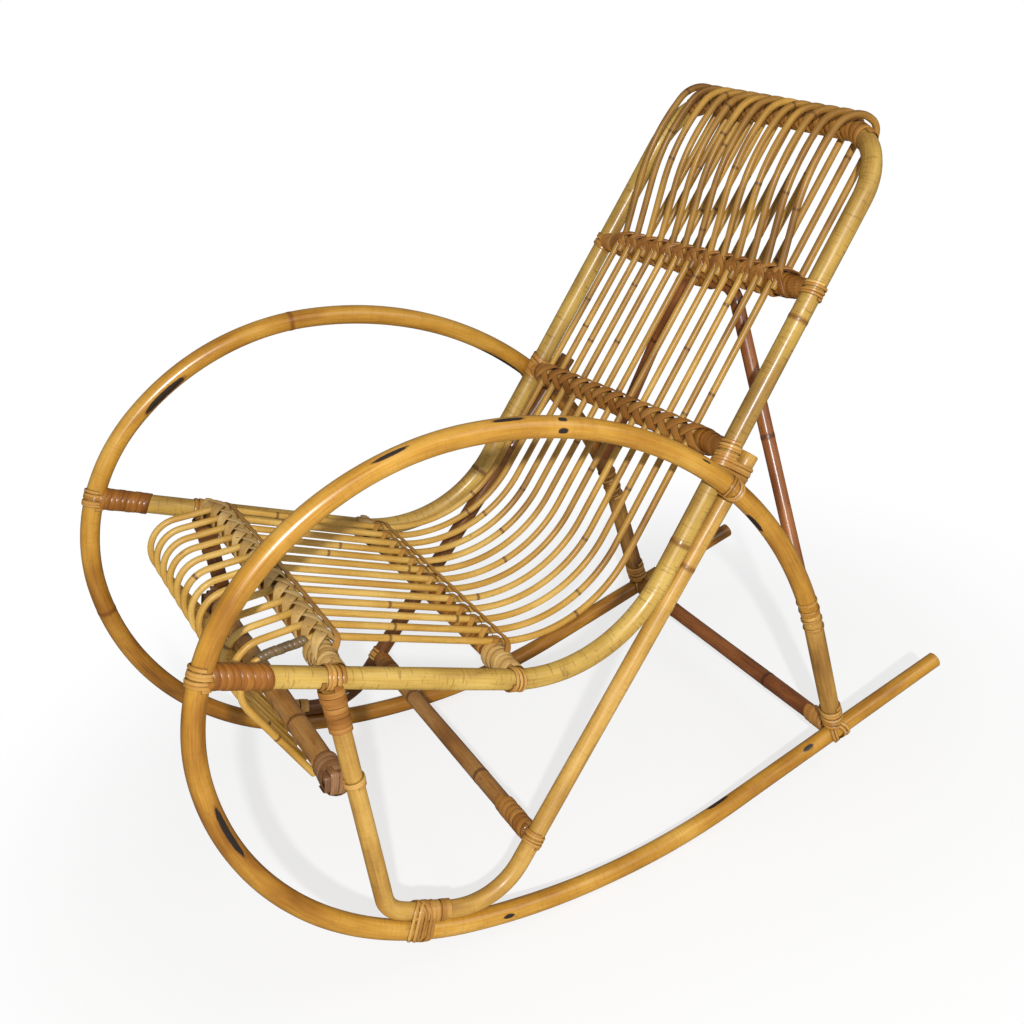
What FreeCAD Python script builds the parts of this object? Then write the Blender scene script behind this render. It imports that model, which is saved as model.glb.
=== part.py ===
import FreeCAD, Part
import math
import os

from FreeCAD import Placement, Rotation, Vector

# Rattan rocking chair: two bent side hoops that are rocker, arm and rear post in one line,
# a seat and back frame bent from one pole, brace poles, cross bars and bent reeds.
# +X is the sitter's left, the chair faces -Y, and it rests on the plane Z = 0.

doc = FreeCAD.newDocument("rattan_rocking_chair")
sheet = doc.addObject("Spreadsheet::Sheet", "Sizes")

# Driving dimensions in millimetres and degrees
SIZES = [
    ("hoop_diameter", 26),
    ("frame_diameter", 26),
    ("brace_diameter", 23),
    ("crossbar_diameter", 22),
    ("front_bar_diameter", 28),
    ("stretcher_diameter", 23),
    ("prop_diameter", 19),
    ("seat_reed_diameter", 9),
    ("head_reed_diameter", 7),
    ("pole_sides", 8),
    ("reed_sides", 4),
    ("peel_thickness", 5),
    ("sleeve_thickness", 3),
    ("peel_spacing", 7),
    ("seating_gap", 0.3),
    # Side hoop, from the point where it touches the floor
    ("hoop_half_width", 271),
    ("lean_back", 10.05),
    ("hoop_toe_in", 0.8),
    ("rocker_radius", 846),
    ("rocker_front_angle", 6.7),
    ("rocker_rear_angle", 21.1),
    ("rocker_tail", 364),
    ("front_low_radius", 360),
    ("front_low_angle", 73.9),
    ("front_high_radius", 275),
    ("front_high_angle", 53.1),
    ("arm_front_radius", 361),
    ("arm_front_angle", 44.9),
    ("arm_rear_radius", 515),
    ("arm_rear_angle", 74),
    ("splice_length", 58),
    # Seat and back frame
    ("rail_joint_angle", 28),
    ("rail_slope", 16.4),
    ("rail_length", 530),
    ("seat_bend_radius", 189),
    ("stile_slope", 58.5),
    ("stile_length", 744),
    ("top_corner_radius", 84),
    ("frame_toe_in", 2.7),
    # Cross bars, measured along the rail and the stile
    ("front_bar_along_rail", 156),
    ("mid_bar_along_rail", 392),
    ("seat_bar_rise", 4),
    ("low_back_bar_along_stile", 306),
    ("high_back_bar_along_stile", 523),
    ("back_bar_skew", 16),
    # Brace poles
    ("leg_along_rail", 146),
    ("leg_lean", 9.6),
    ("leg_bend_radius", 34),
    ("brace_slope", 55),
    ("brace_bend_radius", 92),
    ("brace_top_overlap", 190),
    ("front_bar_height", 268),
    ("front_bar_ahead", 18),
    ("stretcher_height", 112),
    # Reeds
    ("reed_count", 13),
    ("outer_reed_front", 208),
    ("reed_front_shift", -10),
    ("outer_reed_back", 174),
    ("roll_radius", 42),
    ("roll_start_slope", 7),
    ("roll_end_slope", 56),
    ("reed_bend_radius", 172),
    ("head_bulge", 48),
    ("head_bulge_radius", 120),
    ("head_brow", 34),
    ("head_brow_radius", 38),
    ("head_foot_radius", 40),
    ("head_stub", 12),
    # Prop behind the back
    ("prop_apex_width", 109),
    ("prop_apex_shift", 18),
    ("prop_apex_radius", 30),
    ("prop_foot_rise", 84),
    ("prop_foot_turn", 37),
    # Peel wound round the joints
    ("rail_lashing_start", 18),
    ("rail_lashing_turns", 4),
    ("leg_lashing_start", 27),
    ("leg_lashing_length", 40),
    ("bar_lashing_start", 18),
    ("bar_lashing_length", 17),
]

for row, (alias, value) in enumerate(SIZES, start=1):
    sheet.set(f"A{row}", alias)
    sheet.set(f"B{row}", str(value))
    sheet.setAlias(f"B{row}", alias)
doc.recompute()


def size(alias):
    return float(sheet.get(alias))


def half(alias):
    return size(alias) / 2


gap = size("seating_gap")
parts = []


# Directions and points in the side view: (y, z) pairs, angles measured from +Y towards +Z

def heading(angle):
    return Vector(0, math.cos(math.radians(angle)), math.sin(math.radians(angle)))


def turned(vector, angle):
    c = math.cos(math.radians(angle))
    s = math.sin(math.radians(angle))
    return Vector(0, vector.y * c - vector.z * s, vector.y * s + vector.z * c)


class Trace:
    # A bent pole drawn in the side view as runs and tangent bends

    def __init__(self, start, angle):
        self.points = [start]
        self.angle = angle
        self.pieces = []

    def run(self, length):
        end = self.points[-1] + heading(self.angle) * length
        self.pieces.append((self.points[-1], end))
        self.points.append(end)

    def bend(self, radius, turn):
        side = 1 if turn > 0 else -1
        start = self.points[-1]
        centre = start + heading(self.angle + 90 * side) * radius
        middle = centre + turned(start - centre, turn / 2)
        end = centre + turned(start - centre, turn)
        self.pieces.append((start, middle, end))
        self.points.append(end)
        self.angle += turn
        return centre


def edge(points):
    if len(points) == 2:
        return Part.LineSegment(*points).toShape()
    return Part.Arc(*points).toShape()


def backwards(pieces):
    return [tuple(reversed(piece)) for piece in reversed(pieces)]


def tangent_arc(before, corner, after, reach):
    # Arc that touches both lines at the given distance from their corner
    back = (before - corner).normalize()
    ahead = (after - corner).normalize()
    opening = back.getAngle(ahead)
    radius = reach * math.tan(opening / 2)
    bisector = (back + ahead).normalize()
    middle = corner + bisector * (radius / math.sin(opening / 2) - radius)
    return (corner + back * reach, middle, corner + ahead * reach)


def rounded(points, radii):
    # Straight runs through the points, with a tangent arc at each inner point
    pieces = []
    start = points[0]
    for before, corner, after, radius in zip(points, points[1:], points[2:], radii):
        opening = (before - corner).getAngle(after - corner)
        arc = tangent_arc(before, corner, after, radius / math.tan(opening / 2))
        if (arc[0] - start).Length > 0.001:
            pieces.append((start, arc[0]))
        pieces.append(arc)
        start = arc[2]
    pieces.append((start, points[-1]))
    return pieces


def crossing(point_a, angle_a, point_b, angle_b):
    # Where two straight lines of the side view meet
    a = heading(angle_a)
    b = heading(angle_b)
    apart = point_b - point_a
    scale = (apart.y * b.z - apart.z * b.y) / (a.y * b.z - a.z * b.y)
    return point_a + a * scale


def arc_between(centre, start, end):
    radius = (start - centre).Length
    middle = centre + ((start - centre) + (end - centre)).normalize() * radius
    return (start, middle, end)


# Side hoop in the side view, traced from the floor contact forwards and backwards

hoop_radius = half("hoop_diameter")
contact = Vector(0, 0, hoop_radius)

tail = Trace(contact, 0)
tail.bend(size("rocker_radius"), size("rocker_rear_angle"))
tail.run(size("rocker_tail"))
tail_angle = size("rocker_rear_angle")
tail_foot = tail.points[1]
tail_tip = tail.points[2]

bow = Trace(contact, 180)
bow.bend(size("rocker_radius"), -size("rocker_front_angle"))
low_centre = bow.bend(size("front_low_radius"), -size("front_low_angle"))
joint_angle = bow.angle - size("rail_joint_angle")
high_centre = bow.bend(size("front_high_radius"), -size("front_high_angle"))
bow.bend(size("arm_front_radius"), -size("arm_front_angle"))
arm_start = bow.points[-1]
arm_angle = bow.angle
arm_centre = bow.bend(size("arm_rear_radius"), -size("arm_rear_angle"))
bow_end = bow.points[-1]
post_angle = bow.angle

# Front joint, where the rail meets the hoop
joint = high_centre + heading(joint_angle + 90) * size("front_high_radius")

# The seat and back frame in the side view
frame_radius = half("frame_diameter")
rail_angle = -size("rail_slope")
stile_angle = size("stile_slope")
bend_corner = joint + heading(rail_angle) * size("rail_length")
top_corner = bend_corner + heading(stile_angle) * size("stile_length")

# The empty chair leans back on its rockers until its weight is over the floor contact
rocker_centre = contact + Vector(0, 0, size("rocker_radius"))
lean = size("lean_back")


def leaned(flat):
    return rocker_centre + turned(flat - rocker_centre, -lean)


# The origin lies on the floor under the middle of the chair's length
head_reach = frame_radius + size("head_reed_diameter") + gap
front_reach = leaned(high_centre).y - size("front_high_radius") - hoop_radius
tail_reach = leaned(tail_tip).y + hoop_radius * math.sin(math.radians(tail_angle - lean))
rear_reach = max(tail_reach, leaned(top_corner).y + head_reach)
middle_y = (front_reach + rear_reach) / 2


def stood(x, flat):
    # Point of the standing chair for a point of the side view
    rolled = leaned(flat)
    return Vector(x, rolled.y - middle_y, rolled.z)


class SidePlane:
    # Upright plane of a bent side piece: x at one place, drawn in towards the back

    def __init__(self, place, x, toe_in):
        self.place = place
        self.x = x
        self.toe_in = math.radians(toe_in)

    def point(self, flat, side):
        along = flat.y - self.place.y
        x = self.x - along * math.sin(self.toe_in)
        y = self.place.y + along * math.cos(self.toe_in)
        return stood(side * x, Vector(0, y, flat.z))

    def vector(self, flat, side):
        rolled = turned(Vector(0, flat.y * math.cos(self.toe_in), flat.z), -lean)
        return Vector(-side * flat.y * math.sin(self.toe_in), rolled.y, rolled.z)

    def edges(self, pieces, side):
        return [edge([self.point(flat, side) for flat in piece]) for piece in pieces]


def bent_pole(name, edges, alias, sides="pole_sides", flats=False):
    # A many-sided section with corners or flats up, down and to both sides, swept along the line
    line = doc.addObject("Part::Feature", name + "_line")
    line.Shape = Part.Wire(edges)
    start = edges[0].valueAt(edges[0].FirstParameter)
    along = edges[0].tangentAt(edges[0].FirstParameter)
    across = along.cross(edges[1].valueAt(edges[1].LastParameter) - start).normalize()
    facing = Rotation(across, along.cross(across), along, "ZXY")
    ring = doc.addObject("Part::RegularPolygon", name + "_section")
    ring.setExpression("Polygon", f"Sizes.{sides}")
    ring.setExpression("Circumradius", f"Sizes.{alias} / 2")
    if flats:
        ring.setExpression("Circumradius", f"Sizes.{alias} / 2 / cos(180 deg / Sizes.{sides})")
        facing = facing * Rotation(Vector(0, 0, 1), 180 / size(sides))
    ring.Placement = Placement(start, facing)
    pole = doc.addObject("Part::Sweep", name)
    pole.Sections = [ring]
    pole.Spine = (line, [f"Edge{number}" for number in range(1, len(edges) + 1)])
    pole.Solid = True
    pole.Frenet = False
    return pole


def straight_pole(name, start, end, alias):
    pole = doc.addObject("Part::Cylinder", name)
    pole.setExpression("Radius", f"Sizes.{alias} / 2")
    pole.Height = (end - start).Length
    pole.Placement = Placement(start, Rotation(Vector(0, 0, 1), end - start))
    return pole


def saddle_tool(name, centre, along, alias, extra=0):
    # Round cutter that copes a pole's end to the pole that it meets
    tool = doc.addObject("Part::Cylinder", name)
    tool.setExpression("Radius", f"Sizes.{alias} / 2 + Sizes.seating_gap + {extra}")
    tool.Height = 4 * size(alias)
    axis = Vector(along)
    axis.normalize()
    tool.Placement = Placement(centre - axis * tool.Height.Value / 2, Rotation(Vector(0, 0, 1), axis))
    return tool


def cut(name, base, tool):
    result = doc.addObject("Part::Cut", name)
    result.Base = base
    result.Tool = tool
    return result


def keep(label, shape_object):
    shape_object.Label = label
    parts.append(shape_object)


SIDES = (("left", 1), ("right", -1))

hoop_plane = SidePlane(joint, size("hoop_half_width"), size("hoop_toe_in"))
frame_plane = SidePlane(joint, size("hoop_half_width"), size("frame_toe_in"))

# Scarf splice between the end of the hoop and the rear post
splice_turn = math.degrees(size("splice_length") / size("arm_rear_radius"))
splice_start = arm_centre + turned(bow_end - arm_centre, splice_turn)
splice_middle = arm_centre + turned(bow_end - arm_centre, splice_turn / 2)
scarf_angle = math.degrees(math.atan(size("hoop_diameter") / size("splice_length")))
scarf_heading = post_angle + splice_turn / 2 + scarf_angle

post_foot = crossing(bow_end, post_angle, tail_foot, tail_angle)
post_pieces = [arc_between(arm_centre, splice_start, bow_end), (bow_end, post_foot)]
hoop_pieces = backwards(tail.pieces) + bow.pieces


def scarf_tool(name, side, upper):
    # Block with one face on the slanted scarf plane
    block = 4 * size("hoop_diameter")
    along = hoop_plane.vector(heading(scarf_heading), side)
    normal = hoop_plane.vector(heading(scarf_heading + 90), side)
    across = along.cross(normal)
    tool = doc.addObject("Part::Box", name)
    tool.Length = block
    tool.Width = block
    tool.Height = block
    lift = -gap / 2 if upper else gap / 2 - block
    corner = hoop_plane.point(splice_middle, side) - (along + across) * (block / 2) + normal * lift
    tool.Placement = Placement(corner, Rotation(across, along, normal, "ZYX"))
    return tool


def meets_arm(through, angle):
    # Where a rising line of the side view crosses the rear bend of the arm
    run = heading(angle)
    apart = through - arm_centre
    b = apart.dot(run)
    c = apart.dot(apart) - size("arm_rear_radius") ** 2
    return through + run * (math.sqrt(b * b - c) - b)


stile_pass = meets_arm(bend_corner, stile_angle)
for name, side in SIDES:
    bent = bent_pole(f"{name}_hoop_bent", hoop_plane.edges(hoop_pieces, side), "hoop_diameter")
    scarfed = cut(f"{name}_hoop_scarfed", bent, scarf_tool(f"{name}_hoop_scarf", side, False))
    notch = saddle_tool(f"{name}_hoop_notch", frame_plane.point(stile_pass, side),
                        frame_plane.vector(heading(stile_angle), side), "frame_diameter")
    keep(f"{name}_hoop_pole", cut(f"{name}_hoop_pole", scarfed, notch))
    post = bent_pole(f"{name}_post_bent", hoop_plane.edges(post_pieces, side), "hoop_diameter")
    scarfed = cut(f"{name}_post_scarfed", post, scarf_tool(f"{name}_post_scarf", side, True))
    saddle = saddle_tool(f"{name}_post_saddle", hoop_plane.point(post_foot, side),
                         hoop_plane.vector(heading(tail_angle), side), "hoop_diameter")
    keep(f"{name}_rear_post", cut(f"{name}_rear_post", scarfed, saddle))

# Seat and back frame: one pole, both rails, stiles and the top
frame_points = [frame_plane.point(flat, 1) for flat in (joint, bend_corner, top_corner)]
frame_points += [frame_plane.point(flat, -1) for flat in (top_corner, bend_corner, joint)]
frame_radii = [size(alias) for alias in ("seat_bend_radius", "top_corner_radius",
                                         "top_corner_radius", "seat_bend_radius")]
frame_edges = [edge(piece) for piece in rounded(frame_points, frame_radii)]
frame = bent_pole("frame_bent", frame_edges, "frame_diameter")
joint_sag = frame_radius ** 2 / (2 * size("front_high_radius"))
for name, side in SIDES:
    saddle = saddle_tool(f"{name}_rail_saddle", hoop_plane.point(joint, side),
                         hoop_plane.vector(heading(joint_angle), side), "hoop_diameter", joint_sag)
    frame = cut(f"frame_{name}_coped", frame, saddle)
keep("seat_back_frame", frame)


def along_rail(alias):
    return joint + heading(rail_angle) * size(alias)


def along_stile(alias, shift=0):
    return bend_corner + heading(stile_angle) * (size(alias) + shift)


def cross_bar(label, left, right, left_pole, right_pole, carrier, alias):
    # Round bar with square ends that butt between two poles
    axis = (left - right).normalize()
    ends = []
    for place, pole, sign in ((right, right_pole, 1), (left, left_pole, -1)):
        tilt = abs(math.pi / 2 - axis.getAngle(pole))
        inset = (half(carrier) + gap) / math.cos(tilt) + half(alias) * math.tan(tilt)
        ends.append(place + axis * (sign * inset))
    keep(label, straight_pole(label, ends[0], ends[1], alias))
    return ends


def level_bar(label, plane, flat, angle, carrier, alias):
    poles = [plane.vector(heading(angle), side) for side in (1, -1)]
    return cross_bar(label, plane.point(flat, 1), plane.point(flat, -1), poles[0], poles[1], carrier, alias)


# Cross bars of the seat and the back
seat_normal = heading(rail_angle + 90)
back_normal = heading(stile_angle + 90)
front_bar = along_rail("front_bar_along_rail") + seat_normal * size("seat_bar_rise")
mid_bar = along_rail("mid_bar_along_rail") + seat_normal * size("seat_bar_rise")
level_bar("front_crossbar", frame_plane, front_bar, rail_angle, "frame_diameter", "crossbar_diameter")
level_bar("mid_seat_crossbar", frame_plane, mid_bar, rail_angle, "frame_diameter", "crossbar_diameter")
back_bar_ends = {}
for label, alias in (("lower_back_crossbar", "low_back_bar_along_stile"),
                     ("upper_back_crossbar", "high_back_bar_along_stile")):
    skew = size("back_bar_skew")
    left = frame_plane.point(along_stile(alias, skew), 1)
    right = frame_plane.point(along_stile(alias, -skew), -1)
    poles = [frame_plane.vector(heading(stile_angle), side) for side in (1, -1)]
    back_bar_ends[label] = cross_bar(label, left, right, poles[0], poles[1],
                                     "frame_diameter", "crossbar_diameter")

# Brace pole: down behind the stile, along the rocker and up to the rail as the front leg
brace_radius = half("brace_diameter")
rest_radius = size("front_low_radius") - hoop_radius - brace_radius - gap
stile_clear = frame_radius + brace_radius + gap
bend_reach = size("seat_bend_radius") / math.sin((math.pi - math.radians(stile_angle - rail_angle)) / 2)
bend_centre = bend_corner + heading((stile_angle + rail_angle) / 2 + 90) * bend_reach
brace_angle = size("brace_slope")
brace_touch = bend_centre + heading(brace_angle - 90) * (size("seat_bend_radius") + stile_clear)
brace_top = brace_touch + heading(brace_angle) * size("brace_top_overlap")
leg_top = along_rail("leg_along_rail")
leg_angle = 90 + size("leg_lean")


def rest_fillet(through, angle, radius, side):
    # Arc that leads from a straight run into the stretch resting on the rocker
    offset = through + heading(angle + 90 * side) * radius
    run = heading(angle)
    apart = offset - low_centre
    reach = rest_radius - radius
    b = apart.dot(run)
    c = apart.dot(apart) - reach ** 2
    centre = offset - run * (b + math.sqrt(b * b - c))
    on_run = centre - heading(angle + 90 * side) * radius
    on_rest = low_centre + (centre - low_centre).normalize() * rest_radius
    return centre, on_run, on_rest


rear_centre, rear_run, rear_rest = rest_fillet(brace_touch, brace_angle, size("brace_bend_radius"), 1)
leg_centre, leg_run, leg_rest = rest_fillet(leg_top, leg_angle, size("leg_bend_radius"), -1)
foot_pieces = [
    arc_between(low_centre, rear_rest, leg_rest),
    arc_between(leg_centre, leg_rest, leg_run),
    (leg_run, leg_top),
]


def plane_x(plane, flat):
    return plane.point(flat, 1).x


# The foot stands over the rocker and under the rail, the upper run leans inwards past the arm
foot_drop = plane_x(hoop_plane, rear_rest) - plane_x(frame_plane, leg_top)
foot_toe_in = math.degrees(math.asin(foot_drop / (leg_top.y - rear_rest.y)))
foot_plane = SidePlane(rear_rest, plane_x(hoop_plane, rear_rest), foot_toe_in)
to_run = rear_run - rear_centre
to_rest = rear_rest - rear_centre
rear_corner = rear_centre + (to_run + to_rest) / (1 + math.cos(to_run.getAngle(to_rest)))
brace_pass = meets_arm(brace_touch, brace_angle)
pass_x = plane_x(hoop_plane, brace_pass) - hoop_radius - brace_radius - gap


def on_brace(flat, side):
    low = foot_plane.point(rear_corner, side)
    high = stood(side * pass_x, brace_pass)
    return low + (high - low) * ((flat - rear_corner).Length / (brace_pass - rear_corner).Length)


for name, side in SIDES:
    top = on_brace(brace_top, side)
    corner = foot_plane.point(rear_corner, side)
    rest = foot_plane.point(rear_rest, side)
    bend = tangent_arc(top, corner, rest, (corner - rest).Length)
    edges = [edge((top, bend[0])), edge(bend)] + foot_plane.edges(foot_pieces, side)
    bent = bent_pole(f"{name}_brace_bent", edges, "brace_diameter")
    saddle = saddle_tool(f"{name}_leg_saddle", frame_plane.point(leg_top, side),
                         frame_plane.vector(heading(rail_angle), side), "frame_diameter")
    keep(f"{name}_brace_pole", cut(f"{name}_brace_pole", bent, saddle))


def at_height(through, angle, height):
    return through + heading(angle) * ((height - through.z) / math.sin(math.radians(angle)))


# Bars between the brace poles and between the hoops
leg_there = at_height(leg_top, leg_angle, size("front_bar_height"))
low_bar = leg_there - heading(0) * size("front_bar_ahead")
low_bar_reach = plane_x(foot_plane, leg_there)
stretcher = at_height(brace_touch, brace_angle, size("stretcher_height"))
bar_ends = [stood(x, low_bar) for x in (-low_bar_reach, low_bar_reach)]
coped_bar = straight_pole("front_lower_bar_round", bar_ends[0], bar_ends[1], "front_bar_diameter")
for name, side in SIDES:
    saddle = saddle_tool(f"{name}_bar_saddle", foot_plane.point(leg_there, side),
                         foot_plane.vector(heading(leg_angle), side), "brace_diameter")
    coped_bar = cut(f"front_lower_bar_{name}_coped", coped_bar, saddle)
keep("front_lower_bar", coped_bar)
brace_runs = [on_brace(brace_pass, side) - on_brace(rear_corner, side) for side in (1, -1)]
cross_bar("middle_stretcher", on_brace(stretcher, 1), on_brace(stretcher, -1), brace_runs[0], brace_runs[1],
          "brace_diameter", "stretcher_diameter")
level_bar("rear_stretcher", hoop_plane, post_foot, tail_angle, "hoop_diameter", "stretcher_diameter")

# Seat reeds: from the front lower bar round the front roll, along the seat and up the back
reed_radius = half("seat_reed_diameter")
over_bar = half("crossbar_diameter") + reed_radius + gap
under_bar = half("front_bar_diameter") + reed_radius + gap
roll_angle = 180 + size("roll_start_slope")
end_angle = 360 - size("roll_end_slope")
low_back_bar = along_stile("low_back_bar_along_stile")
high_back_bar = along_stile("high_back_bar_along_stile")

reed_low = low_bar + heading(end_angle - 90) * under_bar
reed_end = reed_low + heading(end_angle) * half("front_bar_diameter")
lift_angle = (rail_angle + 90 + roll_angle - 90) / 2
lift_turn = math.radians(roll_angle - 180 - rail_angle)
roll_top = front_bar + heading(lift_angle) * (over_bar / math.cos(lift_turn / 2))
roll_corner = crossing(roll_top, roll_angle, reed_low, end_angle)
reed_bend = crossing(roll_top, rail_angle, low_back_bar + back_normal * over_bar, stile_angle)
reed_radii = [size("roll_radius"), over_bar, size("reed_bend_radius")]


def fan_x(share, flat):
    # Reeds stand closer together towards the top of the back
    front = share * size("outer_reed_front") + size("reed_front_shift")
    back = share * size("outer_reed_back")
    return front + (back - front) * (flat.y - front_bar.y) / (high_back_bar.y - front_bar.y)


def in_frame(x, flat):
    # Point between the rails or the stiles, level with them
    level = frame_plane.point(flat, 1)
    return Vector(x, level.y, level.z)


def fanned(share, flat, sideways=0):
    return in_frame(fan_x(share, flat) + sideways, flat)


def high_bar_shift(x):
    # The back bars sit higher on the left than on the right
    return size("back_bar_skew") * x / plane_x(frame_plane, high_back_bar)


reed_count = int(size("reed_count"))
shares = [2 * number / (reed_count - 1) - 1 for number in range(reed_count)]
for number, share in enumerate(shares, start=1):
    shift = high_bar_shift(share * size("outer_reed_back")) + reed_radius
    reed_top = along_stile("high_back_bar_along_stile", shift) + back_normal * over_bar
    flats = (reed_end, roll_corner, roll_top, reed_bend, reed_top)
    points = [fanned(share, flat) for flat in flats]
    edges = [edge(piece) for piece in rounded(points, reed_radii)]
    label = f"seat_reed_{number:02d}"
    keep(label, bent_pole(label, edges, "seat_reed_diameter", "reed_sides", True))

# Headrest reeds: up the front of the upper bar, over the frame's top and down behind
head_radius = half("head_reed_diameter")
beside_bar = half("crossbar_diameter") + head_radius + gap
over_top = frame_radius + head_radius + gap
head_step = reed_radius + head_radius + gap
stub = half("crossbar_diameter") + size("head_stub")
for number, share in enumerate(shares, start=1):
    shift = high_bar_shift(share * size("outer_reed_back") + head_step)
    low = along_stile("high_back_bar_along_stile", shift)
    rise = top_corner - low
    up = heading(stile_angle)
    flats = [
        low - up * stub + back_normal * beside_bar,
        low + back_normal * beside_bar,
        low + rise * 0.62 + back_normal * size("head_bulge"),
        top_corner + up * over_top + back_normal * size("head_brow"),
        top_corner + (up - back_normal) * over_top,
        low - back_normal * over_top,
    ]
    points = [fanned(share, flat, head_step) for flat in flats]
    radii = [size("head_foot_radius"), size("head_bulge_radius"), size("head_brow_radius"), over_top]
    edges = [edge(piece) for piece in rounded(points, radii)]
    label = f"head_reed_{number:02d}"
    keep(label, bent_pole(label, edges, "head_reed_diameter", "reed_sides", True))

# Back prop: a hairpin pole under the upper back bar, its feet coped to the hoops above the splices
prop_drop = half("crossbar_diameter") + half("prop_diameter") + gap
prop_turn = math.radians(size("prop_foot_turn"))
prop_rise = math.degrees(size("prop_foot_rise") / size("arm_rear_radius"))
prop_place = arm_centre + turned(bow_end - arm_centre, prop_rise)
prop_back = heading(post_angle + prop_rise + 90)
prop_points = []
for name, side in SIDES:
    foot = hoop_plane.point(prop_place, side)
    foot += hoop_plane.vector(prop_back, side) * (hoop_radius * math.sin(prop_turn))
    foot.x -= side * hoop_radius * math.cos(prop_turn)
    x = size("prop_apex_shift") + side * size("prop_apex_width") / 2
    flat = along_stile("high_back_bar_along_stile", high_bar_shift(x)) + heading(stile_angle - 135) * prop_drop
    pair = [foot, in_frame(x, flat)]
    prop_points += pair if side == 1 else pair[::-1]
prop_radii = [size("prop_apex_radius")] * 2
prop_edges = [edge(piece) for piece in rounded(prop_points, prop_radii)]
prop = bent_pole("prop_bent", prop_edges, "prop_diameter")
for name, side in SIDES:
    saddle = saddle_tool(f"{name}_prop_saddle", hoop_plane.point(prop_place, side),
                         hoop_plane.vector(heading(post_angle + prop_rise), side), "hoop_diameter")
    prop = cut(f"prop_{name}_coped", prop, saddle)
keep("back_prop", prop)


# Strips of peel wound round the joints

def biarc(start, start_way, end, end_way):
    # Two arcs that leave and arrive along the given directions
    apart = end - start
    both = apart.dot(start_way + end_way)
    turn = 2 * (1 - start_way.dot(end_way))
    reach = (math.sqrt(both * both + turn * apart.dot(apart)) - both) / turn
    corners = (start + start_way * reach, end - end_way * reach)
    middle = (corners[0] + corners[1]) / 2
    arcs = []
    for first, corner, last in ((start, corners[0], middle), (middle, corners[1], end)):
        lean_in = 2 * math.cos((corner - first).getAngle(last - first))
        arcs.append((first, (first + corner * lean_in + last) / (2 + lean_in), last))
    return arcs


def winding(name, start, along, turns, alias):
    # One unbroken tube of turns round a straight pole
    facing = Rotation(Vector(0, 0, 1), along)
    thickness = size("peel_thickness")
    radius = half(alias) + gap + thickness / 2
    pitch = thickness + size("peel_spacing")
    places = []
    ways = []
    for step in range(2 * turns + 1):
        angle = math.pi * step
        outwards = Vector(math.cos(angle), math.sin(angle), 0)
        places.append(start + facing.multVec(outwards * radius + Vector(0, 0, pitch * step / 2)))
        sideways = Vector(-math.sin(angle), math.cos(angle), pitch / (2 * math.pi * radius))
        ways.append(facing.multVec(sideways).normalize())
    edges = []
    for step in range(2 * turns):
        pieces = biarc(places[step], ways[step], places[step + 1], ways[step + 1])
        edges += [edge(piece) for piece in pieces]
    dots = [dot for arc in edges for dot in arc.discretize(9)[:-1]]
    half_turn = len(dots) // (2 * turns)
    least = min((dots[a] - dots[b]).Length
                for a in range(len(dots)) for b in range(a + half_turn, len(dots)))
    print(f"{name}: least gap between turns {least - thickness:.2f} mm")
    return bent_pole(name, edges, "peel_thickness", "reed_sides")


def sleeve(name, start, along, length, alias):
    # Plain eight-sided sleeve where the strips lie in many layers
    facing = Placement(start, Rotation(Vector(0, 0, 1), along))
    outer = doc.addObject("Part::Prism", name + "_outer")
    outer.setExpression("Polygon", "Sizes.pole_sides")
    outer.setExpression("Circumradius", f"Sizes.{alias} / 2 + Sizes.seating_gap + Sizes.sleeve_thickness")
    bore = doc.addObject("Part::Cylinder", name + "_bore")
    bore.setExpression("Radius", f"Sizes.{alias} / 2 + Sizes.seating_gap")
    for tube in (outer, bore):
        tube.setExpression("Height", f"Sizes.{length}")
        tube.Placement = facing
    return cut(name, outer, bore)


def both_sides(label, pieces):
    pair = doc.addObject("Part::Compound", label)
    pair.Links = pieces
    keep(label, pair)


rail_turns = int(size("rail_lashing_turns"))
rail_windings = []
leg_sleeves = []
bar_sleeves = []
for name, side in SIDES:
    along = frame_plane.vector(heading(rail_angle), side)
    start = frame_plane.point(joint, side) + along * size("rail_lashing_start")
    rail_windings.append(winding(f"{name}_rail_winding", start, along, rail_turns, "frame_diameter"))
    along = foot_plane.vector(heading(leg_angle + 180), side)
    start = foot_plane.point(leg_top, side) + along * size("leg_lashing_start")
    leg_sleeves.append(sleeve(f"{name}_leg_sleeve", start, along, "leg_lashing_length", "brace_diameter"))
    along = Vector(-side, 0, 0)
    start = stood(side * low_bar_reach, low_bar) + along * size("bar_lashing_start")
    bar_sleeves.append(sleeve(f"{name}_bar_sleeve", start, along, "bar_lashing_length", "front_bar_diameter"))
both_sides("rail_end_lashings", rail_windings)
both_sides("leg_top_lashings", leg_sleeves)
both_sides("front_bar_lashings", bar_sleeves)

# Every object has to be sound before anything is written
doc.recompute()
for item in doc.Objects:
    if "Invalid" in item.State or "Error" in item.State:
        raise RuntimeError(f"{item.Label} failed: {item.State}")
for part in parts:
    if part.Shape.isNull() or not part.Shape.isValid():
        raise RuntimeError(f"{part.Label} has no valid shape")

os.makedirs("parts", exist_ok=True)
for part in parts:
    part.Shape.exportStep(f"parts/{part.Label}.step")
print(f"{len(parts)} sub-parts written")
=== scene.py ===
import bpy
import math
import random
from mathutils import Matrix, Vector


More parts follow.
